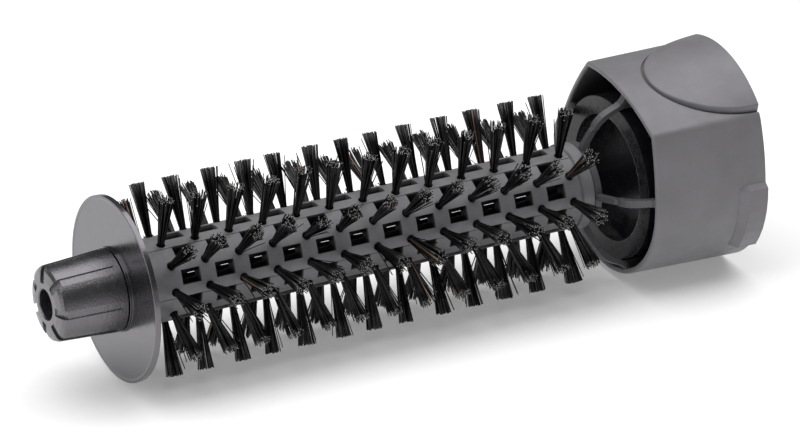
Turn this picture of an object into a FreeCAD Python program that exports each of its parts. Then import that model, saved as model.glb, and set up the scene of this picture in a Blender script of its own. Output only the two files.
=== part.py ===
import FreeCAD, Part
import math
import os
import Sketcher

# Round bristle-brush attachment of a hot-air styler, in millimetres.
# X runs along the brush: the collar's rear face is at X = 0 and the tip is at negative X.
# Every piece is drawn with the thumb pad straight up (+Z) and then turned by roll_angle about X.

doc = FreeCAD.newDocument("hot_air_brush")
sheet = doc.addObject("Spreadsheet::Sheet", "dims")

VALUES = {
    "roll_angle": 13.2,
    "running_gap": 0.05,
    "seam_gap": 0.3,
    # collar
    "collar_length": 24.3,
    "collar_wall": 1.5,
    "rim_wall": 1.1,
    "round_radius_front": 19.6,
    "round_radius_rear": 20.4,
    "side_touch_front": 76.0,
    "side_touch_rear": 78.0,
    "roof_half_angle": 35.0,
    "roof_corner_front": 23.5,
    "roof_corner_rear": 23.5,
    "roof_crown_front": 21.4,
    "roof_crown_rear": 21.7,
    "corner_round_front": 1.8,
    "corner_round_rear": 3.0,
    "rim_round": 0.5,
    "pad_length": 17.9,
    "pad_half_width": 12.6,
    "pad_corner_front": 23.4,
    "pad_corner_rear": 24.3,
    "pad_crown_front": 21.1,
    "pad_crown_rear": 24.5,
    "pad_edge_round": 0.4,
    "groove_width": 0.5,
    "groove_depth": 0.45,
    "lug_length": 5.8,
    "lug_ramp": 1.7,
    "lug_radius": 21.5,
    "lug_start_angle": 68.5,
    "lug_crest_angle": 74.0,
    "lug_end_angle": 113.5,
    # rib spider and air funnel
    "hub_front": 31.8,
    "hub_radius": 8.6,
    "hub_depth": 0.7,
    "hub_length": 1.4,
    "rib_count": 5,
    "rib_thickness": 1.1,
    "rib_lip_width": 1.5,
    "rib_lip_depth": 1.2,
    "bell_shoulder_radius": 16.6,
    "bell_shoulder": 24.2,
    "socket_radius": 15.0,
    "socket_length": 19.7,
    "socket_wall": 1.3,
    "flange_thickness": 2.4,
    # barrel
    "barrel_front": 132.1,
    "barrel_rear": 34.7,
    "barrel_radius": 8.3,
    "barrel_bore": 5.45,
    "tongue_radius": 7.4,
    "tongue_length": 1.45,
    "stave_count": 5,
    "stave_gap_angle": 0.7,
    "stave_seam_angle": 8.0,
    "core_radius": 5.4,
    "core_bore": 4.6,
    "core_slot_width": 1.0,
    "core_slot_length": 26.2,
    # bristle field
    "row_count": 10,
    "tufts_per_row": 13,
    "first_tuft": 123.9,
    "tuft_pitch": 7.275,
    "tuft_root_radius": 0.8,
    "tuft_tip_radius": 1.45,
    "tuft_root": 6.6,
    "tuft_tip": 19.0,
    "socket_hole_radius": 0.85,
    "socket_hole_floor": 6.1,
    "vent_length": 4.0,
    "vent_width": 2.9,
    "vent_round": 0.5,
    "anchor_length": 1.4,
    "anchor_width": 0.4,
    # end disc
    "disc_front": 133.1,
    "disc_thickness": 1.0,
    "disc_radius": 18.4,
    "bead_width": 0.8,
    "bead_height": 0.08,
    "land_radius": 8.4,
    "land_height": 0.55,
    "journal_radius": 4.0,
    "journal_front": 138.5,
    # tip cap
    "cap_rear_radius": 8.2,
    "cap_front_radius": 7.5,
    "cap_front": 147.6,
    "cap_shoulder": 146.7,
    "cap_wall": 1.3,
    "cap_gap": 0.2,
    "well_radius": 3.0,
    "well_floor": 140.1,
    "well_floor_thickness": 1.4,
    "grip_count": 7,
    "grip_width": 1.6,
    "grip_depth": 0.3,
    "grip_rear": 135.1,
    "grip_first_angle": 22.0,
    # tip screw, washer and threaded insert
    "screw_shank_radius": 1.4,
    "screw_head_radius": 2.4,
    "screw_head_height": 1.9,
    "screw_end": 130.1,
    "washer_radius": 2.75,
    "washer_thickness": 0.45,
    "insert_radius": 2.2,
    "insert_front": 138.2,
    "insert_rear": 129.1,
}

for row, (alias, value) in enumerate(VALUES.items(), start=1):
    sheet.set("A%d" % row, alias)
    sheet.set("B%d" % row, "%g" % value)
    sheet.setAlias("B%d" % row, alias)
doc.recompute()

X_AXIS = FreeCAD.Vector(1, 0, 0)
Y_AXIS = FreeCAD.Vector(0, 1, 0)
ORIGIN = FreeCAD.Vector(0, 0, 0)
pieces = []


def size(expression):
    """Number that an expression of sheet aliases gives."""
    return float(sheet.evalExpression(expression))


def roll(thing, extra="0"):
    """Turn a finished piece about X by the roll angle plus an extra angle."""
    angle = size("dims.roll_angle + " + extra)
    thing.Placement = FreeCAD.Placement(ORIGIN, FreeCAD.Rotation(X_AXIS, angle))
    thing.setExpression("Placement.Rotation.Angle", "dims.roll_angle + " + extra)


def finish(thing, label, extra="0"):
    """Label a finished piece, roll it into place and list it for writing."""
    thing.Label = label
    roll(thing, extra)
    pieces.append(thing)
    return thing


def new_body(name):
    return doc.addObject("PartDesign::Body", name)


def plane_of(body, role):
    for feature in body.Origin.OriginFeatures:
        if feature.Role == role:
            return feature
    raise ValueError(role)


def new_sketch(body, name, role):
    sketch = body.newObject("Sketcher::SketchObject", name)
    sketch.AttachmentSupport = [(plane_of(body, role), "")]
    sketch.MapMode = "FlatFace"
    return sketch


def pin_point(sketch, index, end, across, up):
    """Hold one sketch point at two distances from the origin, each bound to the sheet."""
    for kind, expression in (("DistanceX", across), ("DistanceY", up)):
        value = size(expression)
        number = sketch.addConstraint(Sketcher.Constraint(kind, -1, 1, index, end, value))
        sketch.setExpression("Constraints[%d]" % number, expression)


def outline(sketch, corners):
    """Closed polygon whose corners are pairs of sheet expressions."""
    points = [FreeCAD.Vector(size(across), size(up), 0) for across, up in corners]
    count = len(points)
    for i in range(count):
        sketch.addGeometry(Part.LineSegment(points[i], points[(i + 1) % count]), False)
    for i in range(count):
        sketch.addConstraint(Sketcher.Constraint("Coincident", i, 2, (i + 1) % count, 1))
    for i, (across, up) in enumerate(corners):
        pin_point(sketch, i, 1, across, up)


def turned(body, name, corners):
    """Solid of revolution about X from a half section of (X, radius) corners."""
    sketch = new_sketch(body, name + "_section", "XZ_Plane")
    outline(sketch, corners)
    revolution = body.newObject("PartDesign::Revolution", name)
    revolution.Profile = sketch
    revolution.ReferenceAxis = (sketch, ["H_Axis"])
    revolution.Angle = 360.0
    doc.recompute()
    return revolution


def patterned(body, name, seed, kind, reference, count, angle=None, length=None):
    """Polar or linear pattern of one feature; it becomes the body's tip."""
    pattern = body.newObject("PartDesign::" + kind, name)
    pattern.Originals = [seed]
    if kind == "PolarPattern":
        pattern.Axis = reference
        pattern.Angle = angle
    else:
        pattern.Direction = reference
        pattern.Length = size(length)
        pattern.setExpression("Length", length)
    pattern.Occurrences = int(size(count))
    pattern.setExpression("Occurrences", count)
    body.Tip = pattern
    doc.recompute()
    return pattern


# ---------------------------------------------------------------- collar
# Section of the collar: a round belly, two faintly bulging sides and a crowned roof.

def along(size_name, station):
    """Expression of a collar size at a station, from its front and rear values."""
    rear = "dims.%s_rear" % size_name
    front = "dims.%s_front" % size_name
    return "(%s + (%s) * (%s - %s) / dims.collar_length)" % (rear, station, rear, front)


def side_arc(touch_point, corner_point):
    """Arc that leaves the round belly tangentially at one point and ends at the roof's corner."""
    normal = touch_point / touch_point.Length
    chord = corner_point - touch_point
    radius = -chord.dot(chord) / (2 * chord.dot(normal))
    centre = touch_point - normal * radius
    start = math.atan2(touch_point.y - centre.y, touch_point.x - centre.x)
    end = math.atan2(corner_point.y - centre.y, corner_point.x - centre.x)
    return centre, radius, start, end


def collar_section(name, station, inset, top):
    """Sketch across X with the collar's outline, moved in by inset; top names the roof or the pad."""
    sketch = doc.addObject("Sketcher::SketchObject", name)
    sketch.Placement = FreeCAD.Placement(
        FreeCAD.Vector(size(station), 0, 0), FreeCAD.Rotation(0.5, 0.5, 0.5, 0.5))
    sketch.setExpression("Placement.Base.x", station)
    belly_radius = "(%s - %s)" % (along("round_radius", station), inset)
    touch = "(%s * 1 deg)" % along("side_touch", station)
    corner = "(%s - %s * 1.15)" % (along(top + "_corner", station), inset)
    crown = "(%s - %s)" % (along(top + "_crown", station), inset)
    touch_across = "%s * sin(%s)" % (belly_radius, touch)
    touch_up = "%s * cos(%s)" % (belly_radius, touch)
    corner_across = "%s * sin(dims.roof_half_angle * 1 deg)" % corner
    corner_up = "%s * cos(dims.roof_half_angle * 1 deg)" % corner
    half = size(corner_across)
    sag = size(crown) - size(corner_up)
    roof_radius = (half * half + sag * sag) / (2 * sag)
    roof_centre = FreeCAD.Vector(0, size(crown) - roof_radius, 0)
    spread = math.asin(half / roof_radius)
    turn = math.radians(size(along("side_touch", station)))
    touch_point = FreeCAD.Vector(size(touch_across), size(touch_up), 0)
    corner_point = FreeCAD.Vector(half, size(corner_up), 0)
    centre, side_radius, start, end = side_arc(touch_point, corner_point)
    mirrored = FreeCAD.Vector(-centre.x, centre.y, 0)
    up = FreeCAD.Vector(0, 0, 1)
    quarter = math.pi / 2
    arcs = [
        (roof_centre, roof_radius, quarter - spread, quarter + spread),
        (mirrored, side_radius, math.pi - end, math.pi - start),
        (ORIGIN, size(belly_radius), quarter + turn, 5 * quarter - turn),
        (centre, side_radius, start, end),
    ]
    for middle, radius, first, last in arcs:
        sketch.addGeometry(Part.ArcOfCircle(Part.Circle(middle, up, radius), first, last), False)
    sketch.addConstraint(Sketcher.Constraint("Coincident", 0, 2, 1, 1))
    sketch.addConstraint(Sketcher.Constraint("Tangent", 1, 2, 2, 1))
    sketch.addConstraint(Sketcher.Constraint("Tangent", 2, 2, 3, 1))
    sketch.addConstraint(Sketcher.Constraint("Coincident", 3, 2, 0, 1))
    sketch.addConstraint(Sketcher.Constraint("Coincident", 2, 3, -1, 1))
    sketch.addConstraint(Sketcher.Constraint("PointOnObject", 0, 3, -2))
    sketch.addConstraint(Sketcher.Constraint("Symmetric", 0, 1, 0, 2, -2))
    sketch.addConstraint(Sketcher.Constraint("Horizontal", 2, 1, 2, 2))
    pin_point(sketch, 3, 1, touch_across, touch_up)
    pin_point(sketch, 3, 2, corner_across, corner_up)
    number = sketch.addConstraint(Sketcher.Constraint("Radius", 0, roof_radius))
    bulge = "(%s - %s)" % (crown, corner_up)
    roof_expression = "((%s)^2 + %s^2) / (2 * %s)" % (corner_across, bulge, bulge)
    sketch.setExpression("Constraints[%d]" % number, roof_expression)
    return sketch


def wall_at(station):
    """Expression of the collar's wall at a station; it thins towards the front rim."""
    thinning = "(dims.collar_wall - dims.rim_wall) / dims.collar_length"
    return "(dims.collar_wall + (%s) * %s)" % (station, thinning)


def collar_loft(name, front, rear, front_inset, rear_inset=None, top="roof"):
    """Solid between two collar sections, moved in by an inset at each end."""
    loft = doc.addObject("Part::Loft", name)
    loft.Sections = [
        collar_section(name + "_front", front, front_inset, top),
        collar_section(name + "_rear", rear, rear_inset or front_inset, top),
    ]
    loft.Solid = True
    loft.Ruled = True
    doc.recompute()
    return loft


def boolean(kind, name, base, tool):
    result = doc.addObject("Part::" + kind, name)
    result.Base = base
    result.Tool = tool
    doc.recompute()
    return result


def long_edges_near(shape, across, up, reach):
    """Numbers of the edges along the piece that pass near two mirrored points of the section."""
    found = []
    for number, edge in enumerate(shape.Edges, start=1):
        middle = edge.valueAt((edge.FirstParameter + edge.LastParameter) / 2)
        near = math.hypot(abs(middle.y) - across, middle.z - up) < reach
        if near and edge.BoundBox.XLength > 0.8 * size("dims.collar_length"):
            found.append(number)
    return found


def rounded_edges(name, base, numbers, front_radius, rear_radius=None):
    """Fillet on numbered edges; two radii make it grow from the front end to the rear end."""
    first = size(front_radius)
    last = size(rear_radius or front_radius)
    rounded = doc.addObject("Part::Fillet", name)
    rounded.Base = base
    rows = []
    for number in numbers:
        edge = base.Shape.Edges[number - 1]
        from_front = edge.Vertexes[0].X <= edge.Vertexes[-1].X
        rows.append((number, first, last) if from_front else (number, last, first))
    rounded.Edges = rows
    doc.recompute()
    return rounded


corner_radius = "(dims.roof_corner_front + dims.roof_corner_rear) / 2"
mean_across = size(corner_radius + " * sin(dims.roof_half_angle * 1 deg)")
mean_up = size(corner_radius + " * cos(dims.roof_half_angle * 1 deg)")

shell_blank = collar_loft("collar_blank", "-dims.collar_length", "0", "0")
shell_rounded = rounded_edges(
    "collar_rounded", shell_blank, long_edges_near(shell_blank.Shape, mean_across, mean_up, 1.5),
    "dims.corner_round_front", "dims.corner_round_rear")


def pad_prism(name, grow):
    """Upright prism over the thumb pad; its ellipse is centred on the collar's rear face."""
    plan = doc.addObject("Part::Ellipse", name + "_plan")
    for radius, alias in (("MajorRadius", "pad_length"), ("MinorRadius", "pad_half_width")):
        expression = "dims.%s + %s" % (alias, grow)
        setattr(plan, radius, size(expression))
        plan.setExpression(radius, expression)
    prism = doc.addObject("Part::Extrusion", name)
    prism.Base = plan
    prism.DirMode = "Custom"
    prism.Dir = FreeCAD.Vector(0, 0, 1)
    prism.LengthFwd = size("dims.pad_crown_rear + 6")
    prism.setExpression("LengthFwd", "dims.pad_crown_rear + 6")
    prism.Solid = True
    doc.recompute()
    return prism


# thumb pad: a second skin that rises towards the rear, kept inside the pad's half ellipse
pad_skin = collar_loft("pad_skin", "-dims.collar_length", "0", "0", top="pad")
pad_solid = boolean("Common", "pad_solid", pad_skin, pad_prism("pad_plan", "0"))
pad_top_edges = [
    number for number, edge in enumerate(pad_solid.Shape.Edges, start=1)
    if edge.BoundBox.ZMin > size("dims.roof_corner_front * 0.72") and edge.BoundBox.XLength > 5]
pad_eased = rounded_edges("pad_eased", pad_solid, pad_top_edges, "dims.pad_edge_round")

# fine groove round the foot of the pad
groove_ring = boolean(
    "Cut", "groove_ring", pad_prism("groove_outer", "dims.groove_width"), pad_prism("groove_inner", "0"))
groove_floor = collar_loft("groove_floor", "-dims.collar_length", "0", "dims.groove_depth")
groove_tool = boolean("Cut", "groove_tool", groove_ring, groove_floor)

collar_grooved = boolean("Cut", "collar_grooved", shell_rounded, groove_tool)
collar_padded = boolean("Fuse", "collar_padded", collar_grooved, pad_eased)


def lug_section(name, side, station, crest):
    """Sketch across X with a locking lug's section; side is +1 or -1, crest is its outer radius."""
    sketch = doc.addObject("Sketcher::SketchObject", name)
    sketch.Placement = FreeCAD.Placement(
        FreeCAD.Vector(size(station), 0, 0), FreeCAD.Rotation(0.5, 0.5, 0.5, 0.5))
    sketch.setExpression("Placement.Base.x", station)
    root = "(dims.round_radius_front - dims.collar_wall)"
    skin = "dims.round_radius_front"
    span = "(dims.lug_end_angle - dims.lug_crest_angle)"

    def spot(radius, angle):
        across = "%d * %s * sin(%s * 1 deg)" % (side, radius, angle)
        return across, "%s * cos(%s * 1 deg)" % (radius, angle)

    corners = [spot(root, "dims.lug_start_angle"), spot(skin, "dims.lug_start_angle")]
    for step in range(7):
        corners.append(spot(crest, "(dims.lug_crest_angle + %s * %d / 6)" % (span, step)))
    corners.append(spot(skin, "(dims.lug_end_angle + 1)"))
    corners.append(spot(root, "(dims.lug_end_angle + 1)"))
    outline(sketch, corners)
    return sketch


def lug(name, side):
    """Locking lug at the rear rim, with a sloped upper flank and a ramp up from the front."""
    stations = [
        ("foot", "-dims.lug_length", "(dims.round_radius_rear - 0.1)"),
        ("crest", "-dims.lug_length + dims.lug_ramp", "dims.lug_radius"),
        ("rear", "0", "dims.lug_radius"),
    ]
    loft = doc.addObject("Part::Loft", name)
    loft.Sections = [
        lug_section("%s_%s" % (name, tag), side, station, crest) for tag, station, crest in stations]
    loft.Solid = True
    loft.Ruled = True
    doc.recompute()
    return loft


with_left_lug = boolean("Fuse", "collar_lug_a", collar_padded, lug("lug_a", 1))
with_lugs = boolean("Fuse", "collar_lug_b", with_left_lug, lug("lug_b", -1))
hollow_front = "-dims.collar_length - 2"
hollow = collar_loft("collar_hollow", hollow_front, "2", wall_at(hollow_front), wall_at("2"))
collar_open = boolean("Cut", "collar_open", with_lugs, hollow)
rim_edges = [
    number for number, edge in enumerate(collar_open.Shape.Edges, start=1)
    if edge.BoundBox.XMax < -size("dims.collar_length") + 0.05]
collar = rounded_edges("collar", collar_open, rim_edges, "dims.rim_round")
finish(collar, "outer_collar")

# ---------------------------------------------------------------- rib spider and air funnel
# The spider is a hub with five ribs out to the collar's wall; the funnel's bell lies behind them.

bell_front = "-dims.hub_front + dims.hub_length"
inner_space = collar_loft(
    "inner_space", "-dims.collar_length", "0",
    "(dims.rim_wall + 0.02)", "(dims.collar_wall + 0.02)")


def bell_contour(gap):
    """Front and side of the bell as (X, radius) corners, grown outwards by a gap."""
    forward = " - " + gap
    outward = " + " + gap
    return [
        (bell_front + " + dims.seam_gap" + forward, "dims.hub_radius + 0.3" + outward),
        ("-dims.bell_shoulder - 4.7" + forward, "dims.bell_shoulder_radius - 4.8" + outward),
        ("-dims.bell_shoulder - 3.7" + forward, "dims.bell_shoulder_radius - 2.8" + outward),
        ("-dims.bell_shoulder - 2.2" + forward, "dims.bell_shoulder_radius - 1.3" + outward),
        ("-dims.bell_shoulder - 0.4" + forward, "dims.bell_shoulder_radius - 0.35" + outward),
        ("-dims.bell_shoulder" + forward, "dims.bell_shoulder_radius" + outward),
        ("-dims.flange_thickness", "dims.socket_radius + dims.socket_wall" + outward),
    ]


spider_body = new_body("spider")
turned(spider_body, "spider_hub", [
    ("-dims.hub_front", "dims.barrel_bore"),
    ("-dims.hub_front", "dims.hub_radius"),
    (bell_front, "dims.hub_radius"),
    (bell_front, "dims.core_bore"),
    ("-dims.hub_front + dims.hub_depth", "dims.core_bore"),
    ("-dims.hub_front + dims.hub_depth", "dims.barrel_bore"),
])
rib_crest = [
    ("-dims.hub_front + 2.1", "dims.hub_radius + 4.9"),
    ("-dims.hub_front + 2.4", "dims.hub_radius + 5.7"),
    ("-dims.hub_front + 2.9", "dims.hub_radius + 6.5"),
    ("-dims.hub_front + 3.6", "dims.hub_radius + 7.3"),
    ("-dims.hub_front + 4.5", "dims.hub_radius + 7.95"),
    ("-dims.hub_front + 5.6", "dims.hub_radius + 8.5"),
    ("-dims.hub_front + 6.7", "dims.hub_radius + 9"),
    ("-dims.hub_front + 7.5", "dims.hub_radius + 9.6"),
    ("-dims.hub_front + 8.1", "dims.hub_radius + 10.5"),
    ("-dims.hub_front + 8.6", "dims.hub_radius + 12"),
    ("-dims.hub_front + 9", "dims.roof_corner_front"),
]


def rib_feature(name, corners, width):
    """Radial rib through the axis plane, repeated round the hub."""
    sketch = new_sketch(spider_body, name + "_outline", "XZ_Plane")
    outline(sketch, corners)
    rib = spider_body.newObject("PartDesign::Pad", name)
    rib.Profile = sketch
    rib.SideType = "Symmetric"
    rib.Length = size(width)
    rib.setExpression("Length", width)
    doc.recompute()
    patterned(
        spider_body, name + "_set", rib, "PolarPattern", (sketch, ["H_Axis"]), "dims.rib_count", angle=360.0)


rib_feature("rib", [
    ("-dims.hub_front", "dims.barrel_bore + 1"),
    ("-dims.hub_front", "dims.hub_radius + 0.8"),
    ("-dims.hub_front + 1.6", "dims.hub_radius + 4.3"),
] + rib_crest + [
    ("-dims.flange_thickness - 4", "dims.roof_corner_front"),
    ("-dims.flange_thickness - 4", "dims.barrel_bore + 1"),
], "dims.rib_thickness")
rib_feature("rib_lip", rib_crest + [
    ("-dims.hub_front + 9 + dims.rib_lip_depth", "dims.roof_corner_front"),
    ("-dims.hub_front + 7 + dims.rib_lip_depth", "dims.hub_radius + 8.3"),
    ("-dims.hub_front + 4 + dims.rib_lip_depth", "dims.hub_radius + 6.2"),
    ("-dims.hub_front + 2.1 + dims.rib_lip_depth", "dims.hub_radius + 4.4"),
], "dims.rib_lip_width")
bell_room = new_body("bell_room")
turned(bell_room, "bell_room_turned", [
    (bell_front, "0"),
] + bell_contour("dims.seam_gap") + [
    ("0", "dims.socket_radius + dims.socket_wall + dims.seam_gap"),
    ("0", "0"),
])
front_space = doc.addObject("Part::Cylinder", "front_space")
front_space.Radius = size("dims.round_radius_front - dims.collar_wall")
front_space.setExpression("Radius", "dims.round_radius_front - dims.collar_wall")
front_space.Height = 20.0
front_space.Placement = FreeCAD.Placement(
    FreeCAD.Vector(-size("dims.collar_length"), 0, 0), FreeCAD.Rotation(Y_AXIS, -90))
front_space.setExpression("Placement.Base.x", "-dims.collar_length")
rib_space = boolean("Fuse", "rib_space", inner_space, front_space)
spider_ribs = boolean("Cut", "spider_ribs", spider_body, bell_room)
finish(boolean("Common", "spider_trimmed", spider_ribs, rib_space), "rib_spider")

funnel_body = new_body("funnel")
turned(funnel_body, "funnel_bell", bell_contour("0") + [
    ("-dims.flange_thickness", "dims.roof_corner_rear + 1"),
    ("0", "dims.roof_corner_rear + 1"),
    ("0", "dims.socket_radius"),
    ("-dims.socket_length", "dims.socket_radius"),
    ("-dims.socket_length - 1.4", "dims.socket_radius - 1"),
    ("-dims.bell_shoulder - 0.4", "dims.socket_radius - 2.2"),
    ("-dims.bell_shoulder - 2.8", "dims.socket_radius - 4.4"),
    ("-dims.bell_shoulder - 4.7", "dims.socket_radius - 7.6"),
    (bell_front + " + dims.seam_gap", "dims.core_bore + 0.9"),
])
finish(boolean("Common", "funnel_trimmed", funnel_body, inner_space), "air_funnel")

# ---------------------------------------------------------------- barrel
# Ring that holds the rear ends of the staves against the spider's hub.

ring_body = new_body("ring")
turned(ring_body, "ring_turned", [
    ("-dims.barrel_rear", "dims.tongue_radius + dims.running_gap"),
    ("-dims.barrel_rear", "dims.hub_radius - 0.2"),
    ("-dims.barrel_rear + 0.3", "dims.hub_radius + 0.1"),
    ("-dims.hub_front - 0.3", "dims.hub_radius + 0.1"),
    ("-dims.hub_front", "dims.hub_radius - 0.2"),
    ("-dims.hub_front", "dims.barrel_bore"),
    ("-dims.barrel_rear + dims.tongue_length + 0.05", "dims.barrel_bore"),
    ("-dims.barrel_rear + dims.tongue_length + 0.05", "dims.tongue_radius + dims.running_gap"),
])
finish(ring_body, "base_ring")

# Windowed core tube under the staves.
core_body = new_body("core")
turned(core_body, "core_tube", [
    ("-dims.barrel_front + 0.05", "dims.core_bore"),
    ("-dims.barrel_front + 0.05", "dims.core_radius"),
    ("-dims.hub_front + dims.hub_depth - 0.05", "dims.core_radius"),
    ("-dims.hub_front + dims.hub_depth - 0.05", "dims.core_bore"),
])


def vent_station(number):
    """Distance of a vent's middle from the rear face; vents sit midway between tufts."""
    return "(dims.first_tuft - dims.tuft_pitch * (%g + 0.5))" % number


def grid_cut(body, name, sketch, step, along, around):
    """Pocket through the wall above the axis, repeated along X and round it."""
    cut = body.newObject("PartDesign::Pocket", name)
    cut.Profile = sketch
    cut.Type = "Length"
    cut.Length = size("dims.barrel_radius + 3")
    cut.setExpression("Length", "dims.barrel_radius + 3")
    cut.Reversed = True
    doc.recompute()
    grid = body.newObject("PartDesign::MultiTransform", name + "_grid")
    grid.Originals = [cut]
    rows = body.newObject("PartDesign::LinearPattern", name + "_along")
    rows.Direction = (sketch, ["H_Axis"])
    rows.Length = size(step) * (along - 1)
    rows.setExpression("Length", "%s * %d" % (step, along - 1))
    rows.Occurrences = along
    rings = body.newObject("PartDesign::PolarPattern", name + "_around")
    rings.Axis = (plane_of(body, "X_Axis"), [""])
    rings.Angle = 360.0
    rings.Occurrences = around
    grid.Transformations = [rows, rings]
    body.Tip = grid
    doc.recompute()
    return grid


def slot_outline(sketch, middle, length, width):
    """Rectangle centred on the axis at a station, as wide across Y as width."""
    front = "-%s - %s / 2" % (middle, length)
    rear = "-%s + %s / 2" % (middle, length)
    outline(sketch, [
        (front, "-%s / 2" % width), (rear, "-%s / 2" % width),
        (rear, "%s / 2" % width), (front, "%s / 2" % width)])


rows_around = int(size("dims.row_count"))
half_step = "(180 / dims.row_count)"
slot_sketch = new_sketch(core_body, "slot_outline", "XY_Plane")
slot_outline(slot_sketch, vent_station(1.5), "dims.core_slot_length", "dims.core_slot_width")
grid_cut(core_body, "core_slot", slot_sketch, "dims.tuft_pitch * 4", 3, rows_around)
finish(core_body, "barrel_core", half_step)

# Vented sleeve, drawn once with a vent row straight up, then divided into five staves.
sleeve = new_body("sleeve")
turned(sleeve, "sleeve_tube", [
    ("-dims.barrel_front + 0.05", "dims.barrel_bore"),
    ("-dims.barrel_front + 0.05", "dims.tongue_radius"),
    ("-dims.barrel_front + 0.05 + dims.tongue_length", "dims.tongue_radius"),
    ("-dims.barrel_front + 0.05 + dims.tongue_length", "dims.barrel_radius"),
    ("-dims.barrel_rear", "dims.barrel_radius"),
    ("-dims.barrel_rear", "dims.tongue_radius"),
    ("-dims.barrel_rear + dims.tongue_length", "dims.tongue_radius"),
    ("-dims.barrel_rear + dims.tongue_length", "dims.barrel_bore"),
])
vent_sketch = new_sketch(sleeve, "vent_outline", "XY_Plane")
slot_outline(vent_sketch, vent_station(0), "dims.vent_length", "dims.vent_width")
vents_along = int(size("dims.tufts_per_row")) - 1
grid_cut(sleeve, "vent", vent_sketch, "dims.tuft_pitch", vents_along, rows_around)

# Blind holes for the tufts, half a row step away from the vents.
hole_sketch = new_sketch(sleeve, "tuft_hole_outline", "XY_Plane")
lift = size("dims.socket_hole_floor")
tilt = math.radians(size(half_step))
hole_sketch.AttachmentOffset = FreeCAD.Placement(
    FreeCAD.Vector(0, -lift * math.sin(tilt), lift * math.cos(tilt)),
    FreeCAD.Rotation(X_AXIS, math.degrees(tilt)))
hole_sketch.setExpression(
    "AttachmentOffset.Base.y", "-dims.socket_hole_floor * sin(%s * 1 deg)" % half_step)
hole_sketch.setExpression(
    "AttachmentOffset.Base.z", "dims.socket_hole_floor * cos(%s * 1 deg)" % half_step)
hole_sketch.setExpression("AttachmentOffset.Rotation.Angle", half_step)
hole_radius = size("dims.socket_hole_radius")
first_station = FreeCAD.Vector(-size("dims.first_tuft"), 0, 0)
hole_sketch.addGeometry(Part.Circle(first_station, FreeCAD.Vector(0, 0, 1), hole_radius), False)
number = hole_sketch.addConstraint(Sketcher.Constraint("Radius", 0, hole_radius))
hole_sketch.setExpression("Constraints[%d]" % number, "dims.socket_hole_radius")
pin_point(hole_sketch, 0, 3, "-dims.first_tuft", "0")
grid_cut(
    sleeve, "tuft_hole", hole_sketch, "dims.tuft_pitch",
    int(size("dims.tufts_per_row")), rows_around)

stave_step = "(360 / dims.stave_count)"
for index in range(int(size("dims.stave_count"))):
    sector = doc.addObject("Part::Cylinder", "stave_sector_%d" % (index + 1))
    sector.Radius = size("dims.barrel_radius + 2")
    sector.setExpression("Radius", "dims.barrel_radius + 2")
    sector.Height = size("dims.barrel_front + 2")
    sector.setExpression("Height", "dims.barrel_front + 2")
    sector.Angle = size("%s - dims.stave_gap_angle" % stave_step)
    sector.setExpression("Angle", "%s - dims.stave_gap_angle" % stave_step)
    # the cylinder's own axis is laid along -X, then the sector is turned to its seam
    turn = "dims.stave_seam_angle - %s + %s * %d" % (half_step, stave_step, index)
    seam = size(turn + " + dims.stave_gap_angle / 2")
    laid = FreeCAD.Rotation(Y_AXIS, -90)
    sector.Placement = FreeCAD.Placement(ORIGIN, FreeCAD.Rotation(X_AXIS, seam).multiply(laid))
    stave = boolean("Common", "stave_%d" % (index + 1), sleeve, sector)
    finish(stave, "barrel_stave_%d" % (index + 1), half_step)

# ---------------------------------------------------------------- bristle field
# Ten rows of thirteen tufts; each tuft is a root in its blind hole and a flaring brush.

for index in range(rows_around):
    name = "tuft_row_%02d" % (index + 1)
    row_body = new_body(name + "_body")
    tuft_sketch = new_sketch(row_body, name + "_half", "XZ_Plane")
    tuft_sketch.AttachmentOffset = FreeCAD.Placement(first_station, FreeCAD.Rotation())
    tuft_sketch.setExpression("AttachmentOffset.Base.x", "-dims.first_tuft")
    outline(tuft_sketch, [
        ("0", "dims.tuft_root"),
        ("dims.tuft_root_radius", "dims.tuft_root"),
        ("dims.tuft_root_radius", "dims.barrel_radius"),
        ("dims.tuft_tip_radius", "dims.tuft_tip"),
        ("0", "dims.tuft_tip"),
    ])
    tuft = row_body.newObject("PartDesign::Revolution", name + "_tuft")
    tuft.Profile = tuft_sketch
    tuft.ReferenceAxis = (tuft_sketch, ["V_Axis"])
    tuft.Angle = 360.0
    doc.recompute()
    patterned(
        row_body, name + "_pattern", tuft, "LinearPattern", (tuft_sketch, ["H_Axis"]),
        "dims.tufts_per_row", length="dims.tuft_pitch * (dims.tufts_per_row - 1)")
    finish(row_body, name, "360 / dims.row_count * %d" % index)

# Flat wire anchors that pinch the folded tufts at the bottom of their holes.
anchor_body = new_body("anchor")
anchor_sketch = new_sketch(anchor_body, "anchor_outline", "XY_Plane")
anchor_sketch.AttachmentOffset = FreeCAD.Placement(FreeCAD.Vector(0, 0, lift), FreeCAD.Rotation())
anchor_sketch.setExpression("AttachmentOffset.Base.z", "dims.socket_hole_floor")
slot_outline(anchor_sketch, "dims.first_tuft", "dims.anchor_length", "dims.anchor_width")
anchor = anchor_body.newObject("PartDesign::Pad", "anchor_pad")
anchor.Profile = anchor_sketch
anchor.Length = size("dims.tuft_root - dims.socket_hole_floor")
anchor.setExpression("Length", "dims.tuft_root - dims.socket_hole_floor")
doc.recompute()
anchor_grid = anchor_body.newObject("PartDesign::MultiTransform", "anchor_grid")
anchor_grid.Originals = [anchor]
anchor_rows = anchor_body.newObject("PartDesign::LinearPattern", "anchor_along")
anchor_rows.Direction = (anchor_sketch, ["H_Axis"])
anchor_rows.Length = size("dims.tuft_pitch * (dims.tufts_per_row - 1)")
anchor_rows.setExpression("Length", "dims.tuft_pitch * (dims.tufts_per_row - 1)")
anchor_rows.Occurrences = int(size("dims.tufts_per_row"))
anchor_rings = anchor_body.newObject("PartDesign::PolarPattern", "anchor_around")
anchor_rings.Axis = (plane_of(anchor_body, "X_Axis"), [""])
anchor_rings.Angle = 360.0
anchor_rings.Occurrences = rows_around
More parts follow.
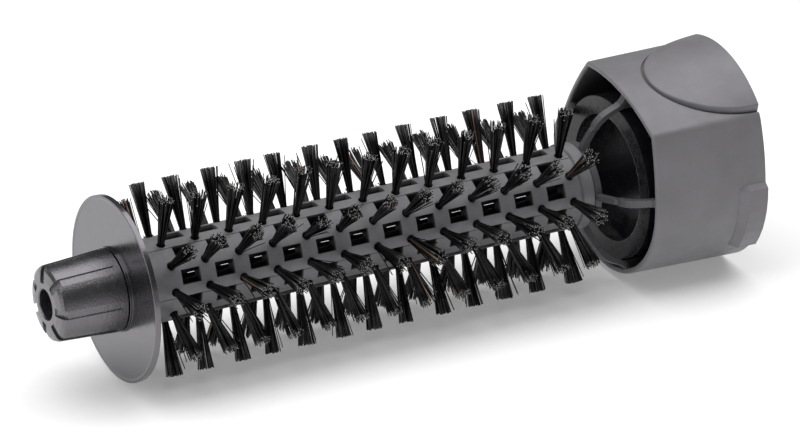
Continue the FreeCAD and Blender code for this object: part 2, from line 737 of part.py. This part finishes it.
anchor_grid.Transformations = [anchor_rows, anchor_rings]
anchor_body.Tip = anchor_grid
doc.recompute()
finish(anchor_body, "tuft_anchors")

# ---------------------------------------------------------------- end disc
# Guard disc with a rolled rim, a plug into the core, a land for the cap and the cap's journal.

disc_body = new_body("disc")
back = "-dims.disc_front + dims.disc_thickness"
turned(disc_body, "disc_turned", [
    ("-dims.journal_front", "dims.insert_radius"),
    ("-dims.journal_front", "dims.journal_radius - 0.4"),
    ("-dims.journal_front + 0.4", "dims.journal_radius"),
    ("-dims.disc_front - dims.land_height", "dims.journal_radius"),
    ("-dims.disc_front - dims.land_height", "dims.land_radius"),
    ("-dims.disc_front", "dims.land_radius"),
    ("-dims.disc_front", "dims.disc_radius - dims.bead_width"),
    ("-dims.disc_front - dims.bead_height", "dims.disc_radius - dims.bead_width + 0.25"),
    ("-dims.disc_front - dims.bead_height", "dims.disc_radius - 0.35"),
    ("-dims.disc_front", "dims.disc_radius"),
    (back, "dims.disc_radius"),
    (back + " + dims.bead_height", "dims.disc_radius - 0.35"),
    (back + " + dims.bead_height", "dims.disc_radius - dims.bead_width + 0.25"),
    (back, "dims.disc_radius - dims.bead_width"),
    (back, "dims.barrel_radius"),
    (back + " + dims.tongue_length", "dims.barrel_radius"),
    (back + " + dims.tongue_length", "dims.tongue_radius + dims.running_gap"),
    (back, "dims.tongue_radius + dims.running_gap"),
    (back, "dims.core_bore - 0.02"),
    (back + " + 4.6", "dims.core_bore - 0.02"),
    (back + " + 5", "dims.core_bore - 0.4"),
    (back + " + 5", "0"),
    ("-dims.insert_rear", "0"),
    ("-dims.insert_rear", "dims.insert_radius"),
])
finish(disc_body, "end_disc")

# Brass insert in the disc's boss, with the screw's thread bore.
insert_body = new_body("insert")
turned(insert_body, "insert_turned", [
    ("-dims.insert_front", "dims.screw_shank_radius"),
    ("-dims.insert_front", "dims.insert_radius - 0.2"),
    ("-dims.insert_front + 0.2", "dims.insert_radius"),
    ("-dims.insert_front + 3.6", "dims.insert_radius"),
    ("-dims.insert_front + 3.8", "dims.insert_radius - 0.3"),
    ("-dims.insert_front + 4.6", "dims.insert_radius - 0.3"),
    ("-dims.insert_front + 4.8", "dims.insert_radius"),
    ("-dims.insert_rear - 0.2", "dims.insert_radius"),
    ("-dims.insert_rear", "dims.insert_radius - 0.2"),
    ("-dims.insert_rear", "dims.screw_shank_radius"),
])
finish(insert_body, "screw_insert")

# ---------------------------------------------------------------- tip cap
# Hollow cool-touch cap; it turns on the journal and is kept by the screw in its well.

floor_back = "-dims.well_floor + dims.well_floor_thickness"
cap_rear = "-dims.disc_front - dims.land_height - dims.cap_gap"
bore = "(dims.journal_radius + dims.running_gap)"
cap_body = new_body("cap")
turned(cap_body, "cap_turned", [
    (cap_rear, bore),
    (floor_back, bore),
    (floor_back, "dims.screw_shank_radius + dims.running_gap"),
    ("-dims.well_floor", "dims.screw_shank_radius + dims.running_gap"),
    ("-dims.well_floor", "dims.well_radius"),
    ("-dims.cap_front + 0.2", "dims.well_radius"),
    ("-dims.cap_front", "dims.well_radius + 0.2"),
    ("-dims.cap_front + 0.05", "dims.cap_front_radius - 2.6"),
    ("-dims.cap_front + 0.35", "dims.cap_front_radius - 1"),
    ("-dims.cap_shoulder - 0.15", "dims.cap_front_radius - 0.25"),
    ("-dims.cap_shoulder + 0.4", "dims.cap_front_radius"),
    (cap_rear + " - 0.1", "dims.cap_rear_radius"),
    (cap_rear, "dims.cap_rear_radius - 0.1"),
    (cap_rear, "dims.cap_rear_radius - dims.cap_wall"),
    ("-dims.cap_shoulder + 1.4", "dims.cap_front_radius - dims.cap_wall"),
    ("-dims.cap_shoulder + 1.4", "dims.journal_radius + 1.3"),
    (cap_rear, "dims.journal_radius + 1.3"),
])
grip_sketch = new_sketch(cap_body, "grip_outline", "XZ_Plane")
outline(grip_sketch, [
    ("-dims.cap_front - 1", "dims.well_radius + 1.2"),
    ("-dims.cap_front + dims.grip_depth", "dims.well_radius + 1.2"),
    ("-dims.cap_shoulder + 0.5", "dims.cap_front_radius - dims.grip_depth"),
    ("-dims.grip_rear", "dims.cap_rear_radius - dims.grip_depth - 0.08"),
    ("-dims.grip_rear", "dims.cap_rear_radius + 2"),
    ("-dims.cap_front - 1", "dims.cap_rear_radius + 2"),
])
grip = cap_body.newObject("PartDesign::Pocket", "grip")
grip.Profile = grip_sketch
grip.SideType = "Symmetric"
grip.Type = "Length"
grip.Length = size("dims.grip_width")
grip.setExpression("Length", "dims.grip_width")
doc.recompute()
patterned(
    cap_body, "grips", grip, "PolarPattern", (grip_sketch, ["H_Axis"]), "dims.grip_count", angle=360.0)
finish(cap_body, "tip_cap", "dims.grip_first_angle")

# Washer and screw in the cap's well.
washer_front = "-dims.well_floor - dims.running_gap - dims.washer_thickness"
washer_body = new_body("washer")
turned(washer_body, "washer_turned", [
    (washer_front, "dims.screw_shank_radius"),
    (washer_front, "dims.washer_radius"),
    ("-dims.well_floor - dims.running_gap", "dims.washer_radius"),
    ("-dims.well_floor - dims.running_gap", "dims.screw_shank_radius"),
])
finish(washer_body, "tip_washer")

screw_body = new_body("screw")
turned(screw_body, "screw_turned", [
    (washer_front + " - dims.screw_head_height", "0"),
    (washer_front + " - dims.screw_head_height", "dims.screw_head_radius - 0.7"),
    (washer_front + " - dims.screw_head_height + 0.5", "dims.screw_head_radius"),
    (washer_front, "dims.screw_head_radius"),
    (washer_front, "dims.screw_shank_radius"),
    ("-dims.screw_end - 0.5", "dims.screw_shank_radius"),
    ("-dims.screw_end", "dims.screw_shank_radius - 0.5"),
    ("-dims.screw_end", "0"),
])
recess_sketch = new_sketch(screw_body, "recess_outline", "XZ_Plane")
outline(recess_sketch, [
    (washer_front + " - dims.screw_head_height - 1", "-1.5"),
    (washer_front + " - dims.screw_head_height", "-1.5"),
    (washer_front + " - dims.screw_head_height + 1.2", "-0.5"),
    (washer_front + " - dims.screw_head_height + 1.2", "0.5"),
    (washer_front + " - dims.screw_head_height", "1.5"),
    (washer_front + " - dims.screw_head_height - 1", "1.5"),
])
recess = screw_body.newObject("PartDesign::Pocket", "recess")
recess.Profile = recess_sketch
recess.SideType = "Symmetric"
recess.Type = "Length"
recess.Length = 0.6
doc.recompute()
patterned(
    screw_body, "recess_cross", recess, "PolarPattern", (recess_sketch, ["H_Axis"]), "4", angle=360.0)
finish(screw_body, "tip_screw")

# ---------------------------------------------------------------- check and write

doc.recompute()
faulty = [thing.Name for thing in doc.Objects if {"Invalid", "Error"} & set(thing.State)]
if faulty:
    raise RuntimeError("failed objects: " + ", ".join(faulty))
for piece in pieces:
    if piece.Shape.isNull() or not piece.Shape.isValid():
        raise RuntimeError("bad shape: " + piece.Label)

os.makedirs("parts", exist_ok=True)
for piece in pieces:
    piece.Shape.exportStep("parts/%s.step" % piece.Label)
    print("%-16s solids %3d  volume %9.1f mm3" % (
        piece.Label, len(piece.Shape.Solids), piece.Shape.Volume))
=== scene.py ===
import math
import random

import bmesh
import bpy
from mathutils import Matrix, Vector


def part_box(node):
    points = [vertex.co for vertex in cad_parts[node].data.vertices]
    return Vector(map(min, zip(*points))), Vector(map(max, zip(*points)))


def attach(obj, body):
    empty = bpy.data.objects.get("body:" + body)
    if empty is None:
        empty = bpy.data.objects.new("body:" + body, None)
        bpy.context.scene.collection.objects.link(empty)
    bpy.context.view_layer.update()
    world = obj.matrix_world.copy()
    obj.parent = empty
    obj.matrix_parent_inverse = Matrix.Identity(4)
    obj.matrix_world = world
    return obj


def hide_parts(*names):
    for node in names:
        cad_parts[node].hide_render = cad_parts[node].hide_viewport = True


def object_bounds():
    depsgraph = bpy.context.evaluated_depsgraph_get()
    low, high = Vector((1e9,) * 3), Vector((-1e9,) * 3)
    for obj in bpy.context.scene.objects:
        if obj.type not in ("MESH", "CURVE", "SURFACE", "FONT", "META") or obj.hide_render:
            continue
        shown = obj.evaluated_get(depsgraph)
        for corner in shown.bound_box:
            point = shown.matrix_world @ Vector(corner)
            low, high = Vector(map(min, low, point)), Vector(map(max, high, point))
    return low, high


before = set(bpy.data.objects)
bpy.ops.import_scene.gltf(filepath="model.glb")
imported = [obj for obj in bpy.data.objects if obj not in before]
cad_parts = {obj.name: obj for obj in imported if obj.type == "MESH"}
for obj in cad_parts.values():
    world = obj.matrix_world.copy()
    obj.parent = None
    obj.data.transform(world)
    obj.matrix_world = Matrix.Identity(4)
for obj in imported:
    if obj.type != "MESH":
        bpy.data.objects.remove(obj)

# Round bristle-brush head of a hot-air styler, lying on its side. Metres throughout.

MM = 0.001
cad_low, cad_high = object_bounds()

# ---------------------------------------------------------------- measures from the frame

ROLL = math.radians(13.2)                      # thumb pad's turn from +Z towards -Y
ROWS = sorted(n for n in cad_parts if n.startswith("tuft_row_"))
TUFTS = 13                                     # tufts in a row
BARREL_RADIUS = 8.3 * MM
TUFT_TIP = 19.0 * MM                           # distance of the bristle tips from the axis
CONE_TIP_RADIUS = 1.45 * MM                    # radius of a tuft's CAD cone at its tip
row_low, row_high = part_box(ROWS[0])
FIRST_X = row_low.x + CONE_TIP_RADIUS
LAST_X = row_high.x - CONE_TIP_RADIUS
PITCH = (LAST_X - FIRST_X) / (TUFTS - 1)

# ---------------------------------------------------------------- materials

NOISE_LOW, NOISE_HIGH = 0.3, 0.7               # band of a noise's values that a ramp spreads out
SMUDGE_HIGH = 0.72
MOTTLE_SIZE = 6 * MM
SMUDGE_SIZE = 2.2 * MM
STAIN_SIZE = 0.9 * MM
WEAR_SIZE = 0.8 * MM
EDGE_RADIUS = 0.14 * MM                        # easing of a moulded piece's edges
SHADE_DEPTH = 0.9 * MM                         # wall depth over which painted shade darkens a vent's side
SHADE_LEVEL = 0.12


def new_material(name):
    material = bpy.data.materials.new(name)
    material.use_nodes = True
    tree = material.node_tree
    return material, tree, tree.nodes["Principled BSDF"]


def object_place(tree):
    return tree.nodes.new("ShaderNodeTexCoord").outputs["Object"]


def noise(tree, coordinates, size, detail=2.0, rough=0.5, distortion=0.0):
    """Noise value whose features are about the given size."""
    node = tree.nodes.new("ShaderNodeTexNoise")
    node.inputs["Scale"].default_value = 1 / size
    node.inputs["Detail"].default_value = detail
    node.inputs["Roughness"].default_value = rough
    node.inputs["Distortion"].default_value = distortion
    tree.links.new(coordinates, node.inputs["Vector"])
    return node.outputs["Fac"]


def ramp(tree, value, stops):
    """Colour or grey ramp between two (position, colour) stops."""
    node = tree.nodes.new("ShaderNodeValToRGB")
    for element, (position, colour) in zip(node.color_ramp.elements, stops):
        element.position = position
        element.color = (*colour, 1.0)
    tree.links.new(value, node.inputs["Fac"])
    return node.outputs["Color"]


def grey(value):
    return (value, value, value)


def tint(colour, factor):
    return tuple(min(1.0, channel * factor) for channel in colour)


def shaded_inside(tree, place, colour, radius):
    """Painted shade: darken a colour where the surface lies deeper than a radius from the brush's
    axis, as on the vents' walls.
    """
    across = tree.nodes.new("ShaderNodeVectorMath")
    across.operation = "MULTIPLY"
    across.inputs[1].default_value = (0, 1, 1)
    tree.links.new(place, across.inputs[0])
    reach = tree.nodes.new("ShaderNodeVectorMath")
    reach.operation = "LENGTH"
    tree.links.new(across.outputs["Vector"], reach.inputs[0])
    depth = tree.nodes.new("ShaderNodeMapRange")
    depth.inputs["From Min"].default_value = radius - SHADE_DEPTH
    depth.inputs["From Max"].default_value = radius
    depth.inputs["To Min"].default_value = SHADE_LEVEL
    depth.inputs["To Max"].default_value = 1.0
    tree.links.new(reach.outputs["Value"], depth.inputs["Value"])
    shaded = tree.nodes.new("ShaderNodeVectorMath")
    shaded.operation = "SCALE"
    tree.links.new(colour, shaded.inputs[0])
    tree.links.new(depth.outputs["Result"], shaded.inputs["Scale"])
    return shaded.outputs["Vector"]


def moulded(name, colour, rough, grain=0.25, grain_size=0.18 * MM, mottle=0.08,
            grain_depth=0.03 * MM, smudge=0.08, specular=0.5, ior=1.5, gleam=(0.97, 0.94, 1.0),
            inside=None):
    """Moulded plastic: fine eroded grain, eased edges, faint mottling and smudged gloss; given a
    radius, painted shade on the surfaces that lie deeper.
    """
    material, tree, shader = new_material(name)
    place = object_place(tree)
    cloud = noise(tree, place, MOTTLE_SIZE, 4.0, 0.6)
    base = ramp(tree, cloud, [
        (NOISE_LOW, tint(colour, 1 - mottle)), (NOISE_HIGH, tint(colour, 1 + mottle))])
    # painted shade on surfaces deeper than the given radius
    if inside:
        base = shaded_inside(tree, place, base, inside)
    tree.links.new(base, shader.inputs["Base Color"])
    wipe = noise(tree, place, SMUDGE_SIZE, 5.0, 0.65, 0.6)
    gloss = ramp(tree, wipe, [
        (NOISE_LOW, grey(rough - smudge)), (SMUDGE_HIGH, grey(rough + smudge))])
    tree.links.new(gloss, shader.inputs["Roughness"])
    fine = noise(tree, place, grain_size, 2.0, 0.55)
    bump = tree.nodes.new("ShaderNodeBump")
    bump.inputs["Strength"].default_value = grain
    bump.inputs["Distance"].default_value = grain_depth
    tree.links.new(fine, bump.inputs["Height"])
    worn = tree.nodes.new("ShaderNodeBevel")
    worn.samples = 6
    worn.inputs["Radius"].default_value = EDGE_RADIUS
    tree.links.new(worn.outputs["Normal"], bump.inputs["Normal"])
    tree.links.new(bump.outputs["Normal"], shader.inputs["Normal"])
    shader.inputs["Specular IOR Level"].default_value = specular
    shader.inputs["IOR"].default_value = ior
    shader.inputs["Specular Tint"].default_value = (*gleam, 1)
    return material


def metal(name, colour, rough):
    """Stained metal: darker and rougher in the stains."""
    material, tree, shader = new_material(name)
    stain = noise(tree, object_place(tree), STAIN_SIZE, 4.0, 0.6)
    base = ramp(tree, stain, [(NOISE_LOW, tint(colour, 0.6)), (NOISE_HIGH, colour)])
    tree.links.new(base, shader.inputs["Base Color"])
    gloss = ramp(tree, stain, [(NOISE_LOW, grey(rough + 0.15)), (NOISE_HIGH, grey(rough))])
    tree.links.new(gloss, shader.inputs["Roughness"])
    shader.inputs["Metallic"].default_value = 1.0
    return material


def bristle_material(name):
    """Nylon whose colour and glint come from each filament's own colour attribute."""
    material, tree, shader = new_material(name)
    own = tree.nodes.new("ShaderNodeAttribute")
    own.attribute_name = "filament"
    wear = noise(tree, object_place(tree), WEAR_SIZE, 3.0)
    gloss = ramp(tree, wear, [(NOISE_LOW, grey(0.26)), (NOISE_HIGH, grey(0.42))])
    tree.links.new(own.outputs["Color"], shader.inputs["Base Color"])
    tree.links.new(gloss, shader.inputs["Roughness"])
    glint = ramp(tree, own.outputs["Fac"], [(0.004, grey(0.03)), (0.011, grey(0.9))])
    tree.links.new(glint, shader.inputs["Specular IOR Level"])
    return material


COLLAR = moulded("collar_plastic", (0.166, 0.162, 0.172), 0.42, grain=0.35)
SPIDER = moulded("spider_plastic", (0.085, 0.083, 0.088), 0.40, grain=0.2, mottle=0.15)
FUNNEL = moulded(
    "funnel_plastic", (0.007, 0.007, 0.009), 0.27, grain=0.12, mottle=0.4, smudge=0.12, specular=0.18)
# the barrel gets painted shade on its vents' walls, deeper than 8.2 mm from the axis
BARREL = moulded(
    "barrel_plastic", (0.160, 0.157, 0.163), 0.46, grain=0.4, mottle=0.22, inside=8.2 * MM)
CORE = moulded("core_plastic", (0.012, 0.012, 0.013), 0.5)
DISC = moulded(
    "disc_plastic", (0.009, 0.0086, 0.010), 0.22, grain=0.08, mottle=0.1, smudge=0.04,
    specular=1.0, ior=1.74)
CAP = moulded(
    "cap_plastic", (0.018, 0.0175, 0.020), 0.25, grain=1.0, grain_size=0.26 * MM,
    grain_depth=0.06 * MM, specular=1.0, ior=1.72)
STEEL = metal("screw_steel", (0.55, 0.36, 0.27), 0.45)
BRASS = metal("insert_brass", (0.60, 0.42, 0.16), 0.3)
ANCHOR = metal("anchor_metal", (0.6, 0.6, 0.6), 0.3)
BRISTLE = bristle_material("bristle_nylon")

# Each piece of the frame takes the material that its name starts with here.
FINISHES = (
    ("outer_collar", COLLAR),
    ("rib_spider", SPIDER),
    ("air_funnel", FUNNEL),
    ("base_ring", BARREL),
    ("barrel_core", CORE),
    ("barrel_stave", BARREL),
    ("end_disc", DISC),
    ("tip_cap", CAP),
    ("tip_screw", STEEL),
    ("tip_washer", STEEL),
    ("screw_insert", BRASS),
    ("tuft_anchors", ANCHOR),
)

for prefix, material in FINISHES:
    for name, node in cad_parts.items():
        if name.startswith(prefix):
            node.data.materials.clear()
            node.data.materials.append(material)

# ---------------------------------------------------------------- bristles

ALONG = Vector((1, 0, 0))                      # the brush's axis
FILAMENTS = 60                                 # filaments in a tuft
SIDES = 4
FILAMENT_RADIUS = 0.1 * MM
RADIUS_RANGE = (0.8, 1.15)
ROOT_DEPTH = 0.9 * MM                          # how far a filament starts below the barrel's skin
ROOT_SPREAD = 0.62 * MM                        # radius of a tuft at its root
TIP_FAN = 1.7 * MM                             # radius of a tuft at its tips
FAN_RANGE = (0.85, 1.12)
LEAN = 0.035                                   # how far a whole tuft leans, per unit of height
TWIST = 0.16                                   # how far a filament's tip turns round its tuft
FLARE_START = 0.08                             # share of the length where the fan begins
FLARE_POWER = 1.15
STEPS = (0.0, 0.12, 0.4, 0.7, 1.0)             # shares of the length that have a ring of points
LENGTH_MEAN, LENGTH_SPREAD = -0.12, 0.10       # millimetres from the full length
STRAY_SHARE = 0.06
STRAY_REACH = (1.25, 1.9)
STRAY_SHORTER = 1.2                            # millimetres, at most

BLACK = (0.0045, 0.0045, 0.005)
BLACK_RANGE = (0.5, 2.4)
BROWNS = [(0.16, 0.065, 0.030), (0.07, 0.028, 0.016), (0.24, 0.13, 0.07), (0.05, 0.032, 0.022)]
# pale grey of the filaments' cut ends: a painted highlight standing in for their glint
TIP_GLINT_GREY = (0.26, 0.25, 0.245)
MIXED_TUFTS = 0.08                             # share of the tufts that hold more brown hairs
BROWN_MIXED, BROWN_PLAIN = 0.09, 0.008         # share of brown hairs in those and in the others
FIRST_SEED = 700


def add_filament(mesh, colour_layer, points, radius, colour):
    """Thin closed tube along the points; its cut end is painted pale grey, a painted highlight for
    the glint of the cut tips.
    """
    rings = []
    for i, point in enumerate(points):
        ahead = points[min(i + 1, len(points) - 1)] - points[max(i - 1, 0)]
        side = ahead.orthogonal().normalized()
        across = ahead.cross(side).normalized()
        ring = []
        for k in range(SIDES):
            angle = 2 * math.pi * k / SIDES
            offset = side * math.cos(angle) + across * math.sin(angle)
            ring.append(mesh.verts.new(point + offset * radius))
        rings.append(ring)
    walls = []
    for low, high in zip(rings, rings[1:]):
        for k in range(SIDES):
            j = (k + 1) % SIDES
            walls.append(mesh.faces.new((low[k], low[j], high[j], high[k])))
    root = mesh.faces.new(list(reversed(rings[0])))
    cut = mesh.faces.new(rings[-1])
    for wall in walls:
        wall.smooth = True
    for face in (*walls, root, cut):
        own = TIP_GLINT_GREY if face is cut else colour
        for loop in face.loops:
            loop[colour_layer] = (*own, 1.0)


def filament_points(x, out, across, lean, lean_across, rng):
    """Centre line of one filament, from below the barrel's skin to its tip."""
    angle = rng.uniform(0, 2 * math.pi)
    share = math.sqrt(rng.random())
    stray = rng.uniform(*STRAY_REACH) if rng.random() < STRAY_SHARE else 1.0
    root = ROOT_SPREAD * share
    tip = TIP_FAN * share * stray * rng.uniform(*FAN_RANGE)
    tip_angle = angle + rng.gauss(0, TWIST)
    length_change = rng.gauss(LENGTH_MEAN, LENGTH_SPREAD) * MM
    if stray > 1:
        length_change -= rng.uniform(0, STRAY_SHORTER) * MM
    start = BARREL_RADIUS - ROOT_DEPTH
    end = TUFT_TIP + min(length_change, 0.0)
    points = []
    for step in STEPS:
        flare = max(0.0, (step - FLARE_START) / (1 - FLARE_START)) ** FLARE_POWER
        spread = root + (tip - root) * flare
        a = angle + (tip_angle - angle) * step
        height = start + (end - start) * step
        sway = height - BARREL_RADIUS
        points.append(
            out * height
            + ALONG * (x + spread * math.cos(a) + sway * lean)
            + across * (spread * math.sin(a) + sway * lean_across))
    return points


def add_tuft(mesh, colour_layer, x, turn, rng):
    """One tuft: filaments leave a tight bundle and fan out to ragged tips."""
    out = Vector((0, -math.sin(turn), math.cos(turn)))
    across = out.cross(ALONG)
    lean = rng.gauss(0, LEAN)
    lean_across = rng.gauss(0, LEAN)
    brown_share = BROWN_MIXED if rng.random() < MIXED_TUFTS else BROWN_PLAIN
    for _ in range(FILAMENTS):
        points = filament_points(x, out, across, lean, lean_across, rng)
        if rng.random() < brown_share:
            colour = rng.choice(BROWNS)
        else:
            colour = tint(BLACK, rng.uniform(*BLACK_RANGE))
        radius = FILAMENT_RADIUS * rng.uniform(*RADIUS_RANGE)
        add_filament(mesh, colour_layer, points, radius, colour)


def bristle_row(number, node_name):
    rng = random.Random(FIRST_SEED + number)
    mesh = bmesh.new()
    colour_layer = mesh.loops.layers.float_color.new("filament")
    turn = ROLL + 2 * math.pi * number / len(ROWS)
    for index in range(TUFTS):
        add_tuft(mesh, colour_layer, FIRST_X + PITCH * index, turn, rng)
    data = bpy.data.meshes.new("bristles_%02d" % (number + 1))
    mesh.to_mesh(data)
    mesh.free()
    data.materials.append(BRISTLE)
    row = bpy.data.objects.new("bristles_%02d" % (number + 1), data)
    bpy.context.scene.collection.objects.link(row)
    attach(row, "brush_head")
    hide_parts(node_name)


for number, node_name in enumerate(ROWS):
    bristle_row(number, node_name)

# ---------------------------------------------------------------- floor and light

FLOOR_SIZE = 6
FLOOR_GAP = 0.05 * MM                          # keeps the floor clear of the collar's lowest edge


def floor():
    bpy.ops.mesh.primitive_plane_add(size=FLOOR_SIZE, location=(0, 0, cad_low.z - FLOOR_GAP))
    plane = bpy.context.object
    plane.name = "floor"
    material, tree, shader = new_material("glowing_floor")
    shader.inputs["Base Color"].default_value = (0.88, 0.88, 0.88, 1)
    # the floor glows faintly: painted light that lifts the shadow under the brush and lights its
    # underside
    shader.inputs["Emission Color"].default_value = (1, 1, 1, 1)
    shader.inputs["Emission Strength"].default_value = 0.21
    shader.inputs["Roughness"].default_value = 0.9
    shader.inputs["Specular IOR Level"].default_value = 0.1
    plane.data.materials.append(material)


def area_light(name, place, target, width, height, power, colour=(1, 1, 1)):
    light = bpy.data.lights.new(name, "AREA")
    light.shape = "RECTANGLE"
    light.size = width
    light.size_y = height
    light.energy = power
    light.color = colour
    lamp = bpy.data.objects.new(name, light)
    lamp.location = place
    lamp.rotation_euler = (Vector(target) - Vector(place)).to_track_quat("-Z", "Y").to_euler()
    bpy.context.scene.collection.objects.link(lamp)


def sky(strength):
    world = bpy.data.worlds.new("studio")
    world.use_nodes = True
    background = world.node_tree.nodes["Background"]
    background.inputs["Color"].default_value = (1, 1, 1, 1)
    background.inputs["Strength"].default_value = strength
    bpy.context.scene.world = world


floor()
MIDDLE = (-0.07, 0, 0)
area_light(
    "overhead", place=(-0.05, 0.07, 0.62), target=(-0.05, 0.07, 0), width=1.6, height=0.72, power=8.6)
area_light(
    "front_low", place=(0.10, -0.90, 0.13), target=MIDDLE, width=1.2, height=0.25, power=0.35,
    colour=(0.97, 0.94, 1.0))
area_light(
    "tip_side", place=(-0.70, -0.10, 0.30), target=MIDDLE, width=0.3, height=0.4, power=0.9)
sky(0.11)

# ---------------------------------------------------------------- camera

# It looks along the brush from its tip side, a little from above, with a long lens.
AIM = Vector((-70.95 * MM, 0, 0))
BACK = Vector((-0.4295, -0.7987, 0.4213)).normalized()
RIGHT = Vector((0, 0, 1)).cross(BACK).normalized()
UP = BACK.cross(RIGHT)
DISTANCE = 1.3019
RISE = 0.936 * MM                              # lifts the view so that the brush sits as framed
LENS = 300.0
SENSOR_WIDTH = 36


def make_camera():
    data = bpy.data.cameras.new("camera")
    data.lens = LENS
    data.sensor_width = SENSOR_WIDTH
    data.clip_start = 0.01
    data.clip_end = 20
    camera = bpy.data.objects.new("camera", data)
    turn = Matrix((RIGHT, UP, BACK)).transposed().to_4x4()
    camera.matrix_world = Matrix.Translation(AIM + UP * RISE + BACK * DISTANCE) @ turn
    bpy.context.scene.collection.objects.link(camera)
    bpy.context.scene.camera = camera


make_camera()
bpy.context.scene.view_settings.view_transform = "Standard"
